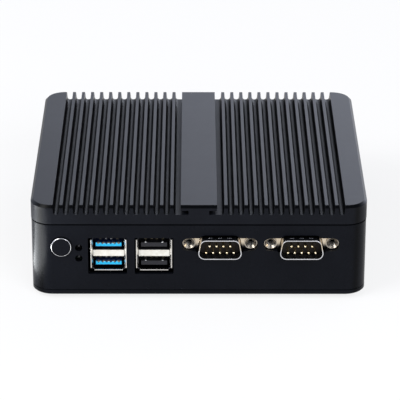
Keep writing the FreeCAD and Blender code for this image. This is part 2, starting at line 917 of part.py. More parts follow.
# ---------------------------------------------------------------- main board and its parts
def upward_screw(x, y, seat, radius, length, head_radius, head_height):
    # a pan-head screw driven upward, its head below the seat
    head = rod("z", (x, y), head_radius, (seat - head_height, seat))
    shank = rod("z", (x, y), radius, (seat - head_height, seat + length))
    socket = hexagon((x, y), s.driver_radius, (seat - head_height, seat - head_height + s.driver_depth))
    return cut(fuse(head, shank), socket)


def main_board():
    z = (board_low, board_high)
    slab = box((-board_x, board_x), (board_front, board_rear), z)
    radius = s.board_screw_radius + s.screw_gap
    holes = [rod("z", place, radius, (board_low - radius, board_high + radius))
             for place in four(board_hole_x, board_hole_y)]
    keep("main_board", cut(slab, *holes))
    screws = [upward_screw(x, y, board_low, s.board_screw_radius, s.board_screw_length,
                           s.board_head_radius, s.board_head_height)
              for x, y in four(board_hole_x, board_hole_y)]
    keep("board_screws", group(screws))


def processor():
    package_top = board_high + s.cpu_height
    die_top = package_top + s.die_height
    pad_top = die_top + s.pad_thickness
    levels = [(s.cpu_width, board_high, package_top), (s.die_width, package_top, die_top),
              (s.pad_width, die_top, pad_top)]
    package, die, pad = [box(around(as_size(0), width), around(middle_y, width), (low, high))
                         for width, low, high in levels]
    keep("processor", fuse(package, die))
    keep("thermal_pad", pad)


def power_stage():
    count = int(s.choke_count.number)
    chokes = []
    for n in range(count):
        x = s.choke_x + s.choke_pitch * (n - (count - 1) / 2)
        z = (board_low - s.choke_height, board_low)
        chokes.append(box(around(x, s.choke_width), around(board_front + s.choke_setback, s.choke_width), z))
    keep("power_chokes", group(chokes))
    count = int(s.capacitor_count.number)
    cans = []
    for n in range(count):
        x = s.capacitor_x + s.capacitor_pitch * (n - (count - 1) / 2)
        span = (board_low - s.capacitor_height, board_low)
        cans.append(rod("z", (x, board_front + s.capacitor_setback), s.capacitor_radius, span))
    keep("capacitors", group(cans))


def memory():
    low = board_low - s.ram_drop - s.ram_thickness
    high = board_low - s.ram_drop
    gap = s.socket_slot_gap
    socket_y = middle_y + board_hole_y - s.ram_step
    edge = socket_y + s.ram_plug
    near = edge - s.ram_length
    bar = box(around(ram_x, ram_socket_width), (socket_y, socket_y + s.ram_socket_depth),
              (board_low - s.ram_socket_height, board_low))
    arms = []
    for sign in (-1, 1):
        middle = ram_x + (ram_socket_width / 2 - s.ram_arm_width / 2) * sign
        arms.append(box(around(middle, s.ram_arm_width), (socket_y - s.ram_arm_length, socket_y + gap),
                        (board_low - s.ram_arm_height, board_low)))
    slot = box(around(ram_x, s.ram_width + gap * 2), (socket_y - gap, edge + gap), (low - gap, high + gap))
    keep("memory_socket", cut(fuse(bar, *arms), slot))
    card = box(around(ram_x, s.ram_width), (near, edge), (low, high))
    chips = []
    count = int(s.memory_chip_count.number)
    pitch = (s.ram_width + s.memory_chip_width) / (count + 1)
    for n in range(count):
        x = ram_x + pitch * (n - (count - 1) / 2)
        y = around((near + socket_y) / 2, s.memory_chip_length)
        chips.append(box(around(x, s.memory_chip_width), y, (low - s.memory_chip_height, low)))
    keep("memory_module", fuse(card, *chips))


def solid_state_drive():
    low = board_low - s.drive_drop - s.drive_thickness
    high = board_low - s.drive_drop
    gap = s.socket_slot_gap
    socket_y = middle_y + board_hole_y - s.drive_step
    edge = socket_y + s.drive_plug
    near = edge - s.drive_length
    block = box(around(drive_x, s.drive_width + gap * 4), (socket_y, socket_y + s.drive_socket_depth),
                (board_low - s.drive_socket_height, board_low))
    slot = box(around(drive_x, s.drive_width + gap * 2), (socket_y - gap, edge + gap),
               (low - gap, high + gap))
    keep("drive_socket", cut(block, slot))
    card = box(around(drive_x, s.drive_width), (near, edge), (low, high))
    chips = []
    for n in range(2):
        middle = near + s.drive_chip_start + s.drive_chip_pitch * n
        chips.append(box(around(drive_x, s.drive_chip_width), around(middle, s.drive_chip_length),
                         (low - s.drive_chip_height, low)))
    notch = rod("z", (drive_x, near), s.drive_screw_radius + gap, (low - gap, high + gap))
    keep("drive_module", cut(fuse(card, *chips), notch))
    post = rod("z", (drive_x, near), s.drive_post_radius, (high, board_low))
    bore = rod("z", (drive_x, near), s.drive_screw_radius + s.thread_gap, (high - gap, board_low - gap * 2))
    keep("drive_post", cut(post, bore))
    keep("drive_screw", upward_screw(drive_x, near, low, s.drive_screw_radius, s.drive_screw_length,
                                     s.drive_head_radius, s.drive_head_height))


def coin_cell():
    place = (-board_hole_x + s.cell_step_x, middle_y - board_hole_y + s.cell_step_y)
    seat = board_low - s.holder_floor
    low = seat - s.cell_height
    rim = rod("z", place, s.cell_radius + s.cell_gap + s.holder_wall, (low, board_low))
    well = rod("z", place, s.cell_radius + s.cell_gap, (low - s.holder_floor, seat))
    keep("cell_holder", cut(rim, well))
    keep("coin_cell", rod("z", place, s.cell_radius, (low, seat)))


# ---------------------------------------------------------------- power button, switch and lamps
def power_button():
    place = (button_x, board_low - s.button_drop)
    face = front - s.button_proud
    bevel_end = face + s.button_bevel
    flange = (front_inside + s.button_gap, front_inside + s.button_gap + s.button_flange)
    stem_tip = flange[1] + s.stem_length
    keep("power_button", fuse(
        cone("y", place, s.button_radius - s.button_bevel, s.button_radius, (face, bevel_end)),
        rod("y", place, s.button_radius, (bevel_end, flange[1])),
        rod("y", place, s.button_flange_radius, flange),
        rod("y", place, s.stem_radius, (flange[0], stem_tip)),
    ))
    board_face = panel_board_face()
    switch_front = board_face - s.switch_depth
    plunger_end = switch_front + s.plunger_reach
    keep("switch_plunger", rod("y", place, s.plunger_radius, (stem_tip, plunger_end)))
    case = box(around(place[0], s.switch_width), (switch_front, board_face), around(place[1], s.switch_width))
    well_end = plunger_end + s.button_travel + s.plunger_gap
    well = rod("y", place, s.plunger_radius + s.plunger_gap, (switch_front - s.stop_gap, well_end))
    keep("power_switch", cut(case, well))


def lamps():
    board_face = panel_board_face()
    tip = front + s.lamp_sink
    seat = board_face - s.lamp_spacer
    spacers = []
    for n, label in enumerate(("power_lamp", "drive_lamp")):
        x = lamp_x
        z = board_low - s.lamp_drop - s.lamp_pitch * n
        keep(label, fuse(
            ball((x, tip + s.lamp_radius, z), s.lamp_radius),
            rod("y", (x, z), s.lamp_radius, (tip + s.lamp_radius, seat)),
            rod("y", (x, z), s.lamp_radius + s.lamp_rim, (seat - s.lamp_rim_height, seat)),
        ))
        spacers.append(rod("y", (x, z), s.lamp_radius + s.lamp_rim, (seat, board_face)))
    keep("lamp_spacers", group(spacers))


def panel_board():
    low = panel_board_low()
    high = board_low - s.panel_board_drop
    face = panel_board_face()
    back = face + s.panel_board_thickness
    right = button_x + s.panel_board_right
    card = box((button_x - s.panel_board_left, right), (face, back), (low, high))
    holes = [rod("y", place, s.panel_screw_radius + s.screw_gap, (face - s.screw_gap, back + s.screw_gap))
             for place in panel_boss_places()]
    keep("panel_board", cut(card, *holes))
    screws = []
    for place in panel_boss_places():
        tip = back - s.panel_screw_length
        head = rod("y", place, s.panel_head_radius, (back, back + s.panel_head_height))
        shank = rod("y", place, s.panel_screw_radius, (tip, back + s.panel_head_height))
        screws.append(fuse(head, shank))
    keep("panel_board_screws", group(screws))

    x = right - s.header_inset - s.header_width / 2
    block = box(around(x, s.header_width), (back, back + s.header_depth), (high - s.header_height, high))
    pins = []
    count = int(s.header_pin_count.number)
    for n in range(count):
        middle = x + s.header_pin_pitch * (n - (count - 1) / 2)
        y = around(back + s.header_depth / 2, s.header_pin_width)
        pins.append(box(around(middle, s.header_pin_width), y, (high - s.header_height / 2, board_low)))
    keep("panel_header", fuse(block, *pins))


# ---------------------------------------------------------------- double USB sockets
def usb_stack(label, x, fast):
    low, high = usb_heights()
    sheet_gap = s.usb_sheet
    mouth = front + s.usb_recess
    start = mouth + s.usb_lip_depth
    end = start + s.usb_depth
    half = s.usb_opening_width / 2
    outer = half + sheet_gap
    root = mouth + s.usb_root_depth
    base = mouth + s.usb_base_depth

    # folded sheet shell with flared lips at the sides and below
    can = box((x - outer, x + outer), (start, end), (low - sheet_gap, high + sheet_gap))
    lips = []
    for sign in (-1, 1):
        near = x + half * sign
        far = x + outer * sign
        flare = s.usb_side_flare * sign
        points = [(far, start), (near, start), (near + flare, mouth), (far + flare, mouth)]
        lips.append(prism("XY", points, (low + s.usb_lip_trim, high - s.usb_lip_trim)))
    floor = low - sheet_gap
    points = [(start, floor), (start, low), (mouth, low - s.usb_low_flare), (mouth, floor - s.usb_low_flare)]
    lips.append(prism("YZ", points, (x - half + s.usb_lip_trim, x + half - s.usb_lip_trim)))
    room = box((x - half, x + half), (start - s.usb_lip_depth, end - sheet_gap), (low, high))
    gate = box((x - half, x + half), (base, end - sheet_gap), (high - sheet_gap, high + sheet_gap * 2))
    keep(f"{label}_shell", cut(cut(fuse(can, *lips), room), gate))

    # plate folded between the two decks
    deck_low = low + s.usb_opening_height
    deck_high = high - s.usb_opening_height
    deck = box((x - half, x + half), (start, root), (deck_low, deck_high))
    fold = box((x - half + sheet_gap, x + half - sheet_gap), (start + sheet_gap, root + sheet_gap),
               (deck_low + sheet_gap, deck_high - sheet_gap))
    keep(f"{label}_divider", cut(deck, fold))

    # moulded block with a tongue in each deck, its contacts on the tongue's upper face
    block = [box((x - half, x + half), (root, end - sheet_gap), (low, high)),
             box((x - half, x + half), (base, end - sheet_gap), (high - sheet_gap, board_low))]
    front_edge = mouth + s.usb_tongue_recess
    slots = []
    contacts = []
    for floor in (low, deck_high):
        tongue_low = floor + s.usb_tongue_rise
        tongue_high = tongue_low + s.usb_tongue_thickness
        block.append(box(around(x, s.usb_tongue_width), (front_edge, root), (tongue_low, tongue_high)))
        begin = front_edge + s.usb_contact_recess
        strip = (begin, begin + s.usb_contact_length)
        for offset in (-s.usb_outer_contact, -s.usb_inner_contact, s.usb_inner_contact, s.usb_outer_contact):
            z = (tongue_high, tongue_high + s.usb_contact_height)
            contacts.append(box(around(x + offset, s.usb_contact_width), strip, z))
        if fast:
            for n in range(-2, 3):
                middle = x + s.usb_slot_pitch * n
                y = (front_edge, front_edge + s.usb_slot_length)
                slots.append(box(around(middle, s.usb_slot_width), y,
                                 (tongue_high - s.usb_slot_depth, tongue_high + s.usb_slot_depth)))
                z = (tongue_high - s.usb_slot_depth, tongue_high - s.usb_slot_depth + s.usb_contact_height)
                contacts.append(box(around(middle, s.usb_slot_width - s.usb_contact_height), y, z))
    moulding = fuse(*block)
    keep(f"{label}_insulator", cut(moulding, *slots) if slots else moulding)
    keep(f"{label}_contacts", group(contacts))


# ---------------------------------------------------------------- nine-pin serial ports
def com_port(label, x):
    z = board_low - s.com_drop
    flange_front = front_inside + s.com_setback
    flange_back = flange_front + s.com_flange_thickness
    rim = flange_front - s.com_length
    half = s.com_flange_width / 2
    ears = [x - s.com_nut_pitch / 2, x + s.com_nut_pitch / 2]
    ear_z = z + s.com_ear_rise

    # drawn sheet shell: a flange with the D-shaped collar standing out of it
    flange = prism("XZ", rectangle((x - half, x + half), around(z, s.com_flange_height)),
                   (flange_front, flange_back), s.com_flange_corner)
    collar = prism("XZ", com_outline(x, as_size(0)), (rim, flange_back), s.com_corner)
    joined = fuse(flange, collar)
    doc.recompute()
    root = []
    for n, edge in enumerate(joined.Shape.Edges, start=1):
        bounds = edge.BoundBox
        flat = bounds.YLength < 1e-4 and abs(bounds.YMin - flange_front.number) < 1e-4
        reach = max(abs(bounds.XMin - x.number), abs(bounds.XMax - x.number))
        inside = reach < (ears[1] - x - s.com_nut_barrel).number
        if flat and inside:
            root.append((n, s.com_base_fillet.number, s.com_base_fillet.number))
    filleted = doc.addObject("Part::Fillet", "Root")
    filleted.Base = joined
    filleted.Edges = root
    hollow = prism("XZ", com_outline(x, -s.com_sheet), (rim - s.com_sheet, flange_back + s.com_sheet),
                   s.com_corner - s.com_sheet)
    bores = [rod("y", (ear, ear_z), s.com_nut_barrel + s.com_nut_gap,
                 (flange_front - s.com_sheet, flange_back + s.com_sheet)) for ear in ears]
    dimples = []
    for n in (-1, 0, 1):
        centre = (x + s.dimple_pitch * n, (rim + flange_front) / 2,
                  z + s.com_height / 2 + s.dimple_radius - s.dimple_depth)
        dimples.append(ball(centre, s.dimple_radius))
    keep(f"{label}_shell", cut(filleted, hollow, *bores, *dimples))

    # moulded body: the face inside the collar, the plate behind the flange and the block under the board
    inset = -s.com_sheet - s.com_body_gap
    face = flange_front - s.com_face_rise
    nose = prism("XZ", com_outline(x, inset), (face, flange_back + s.com_sheet),
                 s.com_corner - s.com_sheet - s.com_body_gap)
    plate_back = flange_back + s.com_plate_depth
    body_back = flange_back + s.com_body_depth
    body_low = z - s.com_flange_height / 2
    plate = box((x - half, x + half), (flange_back, plate_back), (body_low, board_low))
    block = box(around(x, s.com_body_width), (plate_back, body_back), (body_low, board_low))
    passages = [rod("y", (ear, ear_z), s.com_nut_barrel + s.com_nut_gap,
                    (flange_front, plate_back + s.com_sheet)) for ear in ears]
    pins = []
    rows = [(1, 4, s.pin_tail), (-1, 5, s.pin_tail + s.pin_row_setback)]
    for sign, count, tail in rows:
        height = z + s.pin_row / 2 * sign
        for n in range(count):
            place = (x + s.pin_pitch * (n - (count - 1) / 2), height)
            tip = face - s.pin_reach + s.pin_radius
            turn = body_back + tail
            through = (face - s.pin_gap, body_back + s.pin_gap)
            passages.append(rod("y", place, s.pin_radius + s.pin_gap, through))
            pins.append(fuse(
                ball((place[0], tip, place[1]), s.pin_radius),
                rod("y", place, s.pin_radius, (tip, turn)),
                ball((place[0], turn, place[1]), s.pin_radius),
                rod("z", (place[0], turn), s.pin_radius, (place[1], board_low)),
            ))
    keep(f"{label}_insulator", cut(fuse(nose, plate, block), *passages))
    keep(f"{label}_pins", group(pins))

    # threaded inserts with a countersunk mouth
    insert_front = flange_front - s.com_nut_front
    insert_back = flange_back + s.com_nut_length
    nuts = []
    for ear in ears:
        place = (ear, ear_z)
        face_ring = rod("y", place, s.com_nut_radius, (insert_front, flange_front))
        barrel = rod("y", place, s.com_nut_barrel, (insert_front, insert_back))
        bore = rod("y", place, s.com_nut_bore, (insert_front - s.com_sheet, insert_back + s.com_sheet))
        mouth = cone("y", place, s.com_nut_mouth, s.com_nut_bore, (insert_front, insert_front + s.com_nut_sink))
        nuts.append(cut(fuse(face_ring, barrel), bore, mouth))
    keep(f"{label}_inserts", group(nuts))


# ---------------------------------------------------------------- rear sockets
def power_inlet():
    z = board_low - s.power_drop
    end = rear_inside - s.power_setback
    case = box(around(power_x, s.power_width), (end - s.power_depth, end),
               (board_low - s.power_height, board_low))
    bore = rod("y", (power_x, z), s.power_bore, (end - s.power_bore_depth, end + s.power_setback))
    keep("power_inlet", cut(case, bore))
    floor = end - s.power_bore_depth
    keep("power_inlet_pin", rod("y", (power_x, z), s.power_pin_radius, (floor, floor + s.power_pin_length)))


def video_socket():
    end = rear - s.rear_recess
    start = end - s.video_depth
    back = start + s.video_sheet
    can = prism("XZ", video_outline(video_x, as_size(0)), (start, end))
    room = prism("XZ", video_outline(video_x, -s.video_sheet), (back, end + s.video_sheet))
    keep("video_shell", cut(can, room))
    root = back + s.video_tongue_length / 2
    z = board_low - s.video_height / 2
    block = prism("XZ", video_outline(video_x, -s.video_sheet), (back, root))
    tongue = box(around(video_x, s.video_tongue_width), (root, root + s.video_tongue_length),
                 around(z, s.video_tongue_thickness))
    keep("video_insulator", fuse(block, tongue))


def network_socket(label, x):
    end = rear - s.rear_recess
    start = end - s.lan_depth
    low = board_low - s.lan_height
    skin = s.lan_sheet
    half = s.lan_width / 2
    can = box((x - half, x + half), (start, end), (low, board_low))
    room = box((x - half + skin, x + half - skin), (start + skin, end + skin), (low + skin, board_low - skin))
    keep(f"{label}_shell", cut(can, room))
    body = box((x - half + skin, x + half - skin), (start + skin, end - skin), (low + skin, board_low - skin))
    floor = low + s.lan_cavity_rise
    cavity = box(around(x, s.lan_cavity_width), (end - s.lan_cavity_depth, end),
                 (floor, floor + s.lan_cavity_height))
    latch = box(around(x, s.lan_latch_width), (end - s.lan_latch_depth, end),
                (floor - s.lan_latch_height, floor + skin))
    keep(f"{label}_insulator", cut(body, fuse(cavity, latch)))
    wires = []
    count = int(s.lan_wire_count.number)
    for n in range(count):
        middle = x + s.lan_wire_pitch * (n - (count - 1) / 2)
        y_end = end - s.lan_wire_recess
        high = floor + s.lan_cavity_height
        wires.append(box(around(middle, s.lan_wire_width), (y_end - s.lan_wire_length, y_end),
                         (high - s.lan_wire_width, high)))
    keep(f"{label}_contacts", group(wires))


top_cover()
main_housing()
base_plate()
feet()
case_screws()
main_board()
processor()
power_stage()
memory()
solid_state_drive()
coin_cell()
power_button()
lamps()
panel_board()
usb_stack("usb3", usb3_x + s.usb3_offset, fast=True)
usb_stack("usb2", usb2_x, fast=False)
com_port("com1", com1_x)
com_port("com2", com2_x)
power_inlet()
video_socket()
network_socket("lan1", lan1_x)
network_socket("lan2", lan2_x)
doc.recompute()

# ---------------------------------------------------------------- check and write
for item in doc.Objects:
    if "Invalid" in item.State or "Error" in item.State:
        raise RuntimeError(f"{item.Label} ({item.Name}) did not build: {item.State}")
for item in nodes:
    shape = item.Shape
    if shape.isNull() or not shape.isValid() or not shape.Solids:
        raise RuntimeError(f"{item.Label} has no valid solid")
    shape.exportStep(f"parts/{item.Label}.step")
    print(f"{item.Label}: {len(shape.Solids)} solid(s), {shape.Volume:.1f} mm3")
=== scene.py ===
import bpy
import bmesh
import json
import math
from mathutils import Matrix, Vector


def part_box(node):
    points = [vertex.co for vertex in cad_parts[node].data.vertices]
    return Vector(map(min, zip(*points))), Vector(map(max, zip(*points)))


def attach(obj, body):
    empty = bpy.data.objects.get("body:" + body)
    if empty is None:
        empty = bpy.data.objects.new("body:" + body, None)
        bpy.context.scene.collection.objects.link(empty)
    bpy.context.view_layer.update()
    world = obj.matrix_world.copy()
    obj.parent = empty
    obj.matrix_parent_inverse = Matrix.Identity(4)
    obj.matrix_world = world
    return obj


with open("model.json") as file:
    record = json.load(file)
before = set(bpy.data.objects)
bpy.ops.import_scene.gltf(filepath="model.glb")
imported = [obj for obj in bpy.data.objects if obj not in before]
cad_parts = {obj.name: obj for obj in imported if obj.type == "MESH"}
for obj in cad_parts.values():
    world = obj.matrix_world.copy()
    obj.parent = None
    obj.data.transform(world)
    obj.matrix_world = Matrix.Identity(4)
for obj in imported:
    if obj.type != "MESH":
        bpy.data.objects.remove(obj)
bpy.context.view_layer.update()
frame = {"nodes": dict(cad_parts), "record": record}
mm = 0.001


def middleOf(node):
    # the middle of a node's box, in mm
    low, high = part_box(node)
    return [(least + most) / 2 / mm for least, most in zip(low, high)]


def frontOf(node):
    # how far forward a node reaches, as a y in mm
    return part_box(node)[0][1] / mm


shot = {
    "place": (-2.3, -975.5, 444.0),  # mm from the part's origin
    "heading": 0.172,  # heading, tilt and roll are degrees
    "tilt": 23.648,
    "roll": 0.114,
    "lens": 224.16,  # mm
    "film": 36.0,  # mm
    "farEnd": 50.0,  # m
}


def setCamera():
    heading, tilt, roll = (math.radians(shot[key]) for key in ("heading", "tilt", "roll"))
    ahead = Vector((math.sin(heading) * math.cos(tilt), math.cos(heading) * math.cos(tilt), -math.sin(tilt)))
    level = Vector((math.cos(heading), -math.sin(heading), 0))
    above = level.cross(ahead)
    right = level * math.cos(roll) + above * math.sin(roll)
    up = above * math.cos(roll) - level * math.sin(roll)
    data = bpy.data.cameras.new("productCamera")
    data.lens = shot["lens"]
    data.sensor_width = shot["film"]
    data.clip_end = shot["farEnd"]
    camera = bpy.data.objects.new("productCamera", data)
    turn = Matrix((right, up, -ahead)).transposed().to_4x4()
    camera.matrix_world = Matrix.Translation(Vector(shot["place"]) * mm) @ turn
    bpy.context.scene.collection.objects.link(camera)
    bpy.context.scene.camera = camera


def freshTree(owner):
    owner.use_nodes = True
    owner.node_tree.nodes.clear()
    return owner.node_tree


def setInputs(tree, item, inputs):
    # a socket is linked, and anything else is set on the input itself
    for key, value in inputs.items():
        if isinstance(value, bpy.types.NodeSocket):
            tree.links.new(value, item.inputs[key])
        else:
            item.inputs[key].default_value = value


def addNode(tree, kind, inputs=None, **settings):
    item = tree.nodes.new(kind)
    for key, value in settings.items():
        setattr(item, key, value)
    setInputs(tree, item, inputs or {})
    return item


def maths(tree, operation, *values):
    item = addNode(tree, "ShaderNodeMath", dict(enumerate(values)), operation=operation)
    return item.outputs[0]


def larger(tree, *values):
    most = values[0]
    for value in values[1:]:
        most = maths(tree, "MAXIMUM", most, value)
    return most


def spots(tree, place):
    # the X, Y and Z of a place or a direction
    return addNode(tree, "ShaderNodeSeparateXYZ", {"Vector": place}).outputs


def ramped(tree, value, low, high, start=0.0, end=1.0):
    # eases from start to end while the value goes from low to high
    settings = {"Value": value, "From Min": low, "From Max": high, "To Min": start, "To Max": end}
    item = addNode(tree, "ShaderNodeMapRange", settings, interpolation_type="SMOOTHSTEP")
    return item.outputs["Result"]


def cornerAt(form, x, y, z):
    # x, y and z are mm
    return form.verts.new((x * mm, y * mm, z * mm))


def bridge(form, first, second):
    # quads between two closed rings of corners
    for n in range(len(first)):
        after = (n + 1) % len(first)
        form.faces.new((first[n], first[after], second[after], second[n]))


def closeFan(form, ring, tip):
    # triangles from a closed ring of corners to one corner
    for n in range(len(ring)):
        form.faces.new((ring[n], ring[(n + 1) % len(ring)], tip))


def asPiece(form, name):
    mesh = bpy.data.meshes.new(name)
    form.to_mesh(mesh)
    form.free()
    piece = bpy.data.objects.new(name, mesh)
    bpy.context.scene.collection.objects.link(piece)
    return piece


studio = {
    "walls": {
        # side: (axis, where its glow starts and is full, glow)
        "back": ("Y", (0.1, 0.75), 1.84),
        "front": ("Y", (-0.1, -0.8), 0.5),
        "left": ("X", (-0.25, -0.85), 1.1),
        "right": ("X", (0.25, 0.85), 0.3),
    },
    "backLean": 4.0,  # how fast the back wall brightens towards the right
    "leanLimits": (0.3, 1.7),
    "skyLine": (0.45, 0.8),  # how steeply up the walls start to fade, and are gone
    "topGlow": 0.24,
    "tint": (0.90, 0.95, 1.10, 1.0),
    "paper": 1.0,  # the plain white seen past the floor
}


def setStudio():
    world = bpy.data.worlds.new("softStudio")
    bpy.context.scene.world = world
    tree = freshTree(world)
    way = spots(tree, addNode(tree, "ShaderNodeTexCoord").outputs["Generated"])
    walls = {side: ramped(tree, way[axis], *span, 0.0, glow)
             for side, (axis, span, glow) in studio["walls"].items()}
    least, most = studio["leanLimits"]
    lean = maths(tree, "MULTIPLY_ADD", way["X"], studio["backLean"], 1.0)
    lean = maths(tree, "MINIMUM", larger(tree, lean, least), most)
    walls["back"] = maths(tree, "MULTIPLY", walls["back"], lean)
    rise = ramped(tree, way["Z"], *studio["skyLine"], 1.0, 0.0)
    glow = maths(tree, "MULTIPLY_ADD", larger(tree, *walls.values()), rise, studio["topGlow"])
    light = addNode(tree, "ShaderNodeBackground", {"Color": studio["tint"], "Strength": glow})
    paper = addNode(tree, "ShaderNodeBackground", {"Color": (1, 1, 1, 1), "Strength": studio["paper"]})
    seen = addNode(tree, "ShaderNodeLightPath").outputs["Is Camera Ray"]
    surface = addNode(tree, "ShaderNodeMixShader", {0: seen, 1: light.outputs[0], 2: paper.outputs[0]})
    addNode(tree, "ShaderNodeOutputWorld", {"Surface": surface.outputs[0]})


lamps = {
    # name: (place mm, aim mm, size mm, watts, colour)
    "keySoftbox": ((-800, -500, 900), (0, 0, 20), (700, 700), 9.0, (1.0, 0.99, 0.97)),
    "fillSoftbox": ((500, -1100, 700), (0, -40, 20), (800, 600), 7.0, (0.98, 0.99, 1.0)),
    "edgePanel": ((-128, -71, 1), (-128, -71, 100), (84, 74), 0.28, (0.95, 0.98, 1.0)),
}


def setLamps():
    for name, (place, aim, size, watts, colour) in lamps.items():
        data = bpy.data.lights.new(name, "AREA")
        data.shape = "RECTANGLE"
        data.size, data.size_y = size[0] * mm, size[1] * mm
        data.energy = watts
        data.color = colour
        lamp = bpy.data.objects.new(name, data)
        lamp.location = Vector(place) * mm
        lamp.rotation_euler = (Vector(aim) - Vector(place)).to_track_quat("-Z", "Y").to_euler()
        lamp.visible_camera = False
        bpy.context.scene.collection.objects.link(lamp)


floorLook = {
    "paint": (0.86, 0.86, 0.87, 1.0),
    "roughness": 0.6,
    "lift": 0.8,  # how far the floor is lifted towards white for the eye and for mirrors
    "glow": 1.0,
    "drop": 0.02,  # mm under the feet
    "reach": 6.0,  # m
    "sides": 24,
}


def setFloor():
    form = bmesh.new()
    reach, count = floorLook["reach"], floorLook["sides"]
    middle = form.verts.new((0, 0, 0))
    rim = []
    for n in range(count):
        turn = math.tau * n / count
        rim.append(form.verts.new((reach * math.cos(turn), reach * math.sin(turn), 0)))
    closeFan(form, rim, middle)
    sweep = asPiece(form, "sweepFloor")
    sweep.location.z = -floorLook["drop"] * mm
    finish = bpy.data.materials.new("matteSweep")
    tree = freshTree(finish)
    paint = addNode(tree, "ShaderNodeBsdfDiffuse", {
        "Color": floorLook["paint"], "Roughness": floorLook["roughness"]})
    glow = addNode(tree, "ShaderNodeEmission", {"Color": (1, 1, 1, 1), "Strength": floorLook["glow"]})
    rays = addNode(tree, "ShaderNodeLightPath").outputs
    seenBy = larger(tree, rays["Is Camera Ray"], rays["Is Glossy Ray"], rays["Is Transmission Ray"])
    lift = maths(tree, "MULTIPLY", seenBy, floorLook["lift"])
    seen = addNode(tree, "ShaderNodeMixShader", {0: lift, 1: paint.outputs[0], 2: glow.outputs[0]})
    # from below the floor is clear, so the feet and the base plate show
    under = addNode(tree, "ShaderNodeNewGeometry").outputs["Backfacing"]
    clear = addNode(tree, "ShaderNodeBsdfTransparent")
    sides = addNode(tree, "ShaderNodeMixShader", {0: under, 1: seen.outputs[0], 2: clear.outputs[0]})
    addNode(tree, "ShaderNodeOutputMaterial", {"Surface": sides.outputs[0]})
    sweep.data.materials.append(finish)


print("shot")
setCamera()
setStudio()
setLamps()
setFloor()


def newFinish(name):
    finish = bpy.data.materials.new(name)
    tree = freshTree(finish)
    body = addNode(tree, "ShaderNodeBsdfPrincipled")
    addNode(tree, "ShaderNodeOutputMaterial", {"Surface": body.outputs[0]})
    place = addNode(tree, "ShaderNodeTexCoord").outputs["Object"]
    return finish, tree, body, place


def noise(tree, place, size, detail=3.0, roughness=0.55):
    # size is the width of a blotch in mm
    item = addNode(tree, "ShaderNodeTexNoise", {
        "Vector": place, "Scale": 1 / (size * mm), "Detail": detail, "Roughness": roughness})
    return item.outputs["Fac"]


# mottled goes all the way from 0 to 1 between blotches, and uneven wavers between low and high
def mottled(tree, place, size):
    return ramped(tree, noise(tree, place, size), 0.3, 0.7)


def uneven(tree, place, size, low, high):
    return ramped(tree, noise(tree, place, size), 0.25, 0.75, low, high)


def blend(tree, factor, first, second):
    # first and second are colours, as three numbers or as a socket
    first, second = (colour if isinstance(colour, bpy.types.NodeSocket) else (*colour, 1.0)
                     for colour in (first, second))
    item = addNode(tree, "ShaderNodeMix", {0: factor, 6: first, 7: second}, data_type="RGBA")
    return item.outputs[2]


def relief(tree, height, depth, normal):
    # depth is mm from the lowest to the highest of the relief
    inputs = {"Height": height, "Distance": depth * mm, "Strength": 1.0, "Normal": normal}
    return addNode(tree, "ShaderNodeBump", inputs).outputs["Normal"]


def softEdge(tree, radius):
    # rounds the look of an edge over this many mm
    return addNode(tree, "ShaderNodeBevel", {"Radius": radius * mm}, samples=6).outputs["Normal"]


def between(tree, spot, low, high, start=0.0, end=1.0):
    # low and high are mm along one axis of the part
    return ramped(tree, spot, low * mm, high * mm, start, end)


def facing(tree, axis, low, high):
    # 1 where a face looks along the axis
    normal = addNode(tree, "ShaderNodeNewGeometry").outputs["Normal"]
    return ramped(tree, maths(tree, "ABSOLUTE", spots(tree, normal)[axis]), low, high)


blasting = {
    "cloud": 22.0,  # mm across
    "patch": 3.0,  # mm across
    "patchRoughness": 0.06,
    "grain": 0.16,  # mm across
    "grainDetail": 2.0,
    "grainDepth": 0.003,  # mm
    "top": (0.82, 0.98),  # how straight up a face looks before it counts as a flat top
    "front": (0.85, 0.97),  # the same, straight forward
    "rim": (64.0, 66.0),  # mm from the middle to where the sides begin
    "joint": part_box("main_housing")[1][2] / mm,  # the height at which the cover sits on the housing
    "seam": (0.16, 0.3),  # mm from the joint over which its painted shade gives way to the blasting
}


def blastedAnodise(name, look):
    finish, tree, body, place = newFinish(name)
    x, _, z = spots(tree, place)
    # the tops, the front and the sides take the blasting, and slopes and groove walls are painted blacker as
    # shade
    rim = between(tree, maths(tree, "ABSOLUTE", x), *blasting["rim"])
    flat = larger(tree, facing(tree, "Z", *blasting["top"]), facing(tree, "Y", *blasting["front"]), rim)
    dull = look["roughness"]
    if "hollow" in look:
        dull = between(tree, z, *look["hollow"], look["hollowRoughness"], dull)
    # the joint between cover and housing is painted black as shade in the gap, and stays dull
    off = maths(tree, "ABSOLUTE", maths(tree, "SUBTRACT", z, blasting["joint"] * mm))
    seam = between(tree, off, *blasting["seam"], 1.0, 0.0)
    flat = maths(tree, "MULTIPLY", flat, maths(tree, "SUBTRACT", 1.0, seam))
    dull = larger(tree, dull, seam)
    skin = blend(tree, mottled(tree, place, blasting["cloud"]), look["dark"], look["light"])
    patch = noise(tree, place, blasting["patch"])
    grain = noise(tree, place, blasting["grain"], blasting["grainDetail"])
    setInputs(tree, body, {
        "Base Color": blend(tree, flat, look["paintedSlopeShade"], skin),
        "Roughness": maths(tree, "MULTIPLY_ADD", patch, blasting["patchRoughness"], dull),
        "Specular IOR Level": look["specular"],
        "Normal": relief(tree, grain, blasting["grainDepth"], softEdge(tree, look["edge"])),
    })
    return finish


# a painted highlight in warm plating colour on the cheeks of each serial flange
flangeCheekHighlight = {
    "ports": ("com1_shell", "com2_shell"),
    "inner": (7.2, 8.0),  # mm from the collar's middle, where a cheek sets in
    "outer": (11.2, 10.4),  # and where it ends
    "rise": (22.4, 24.6),  # mm of height over which the painted highlight brightens
    "colour": (0.70, 0.60, 0.46),
}


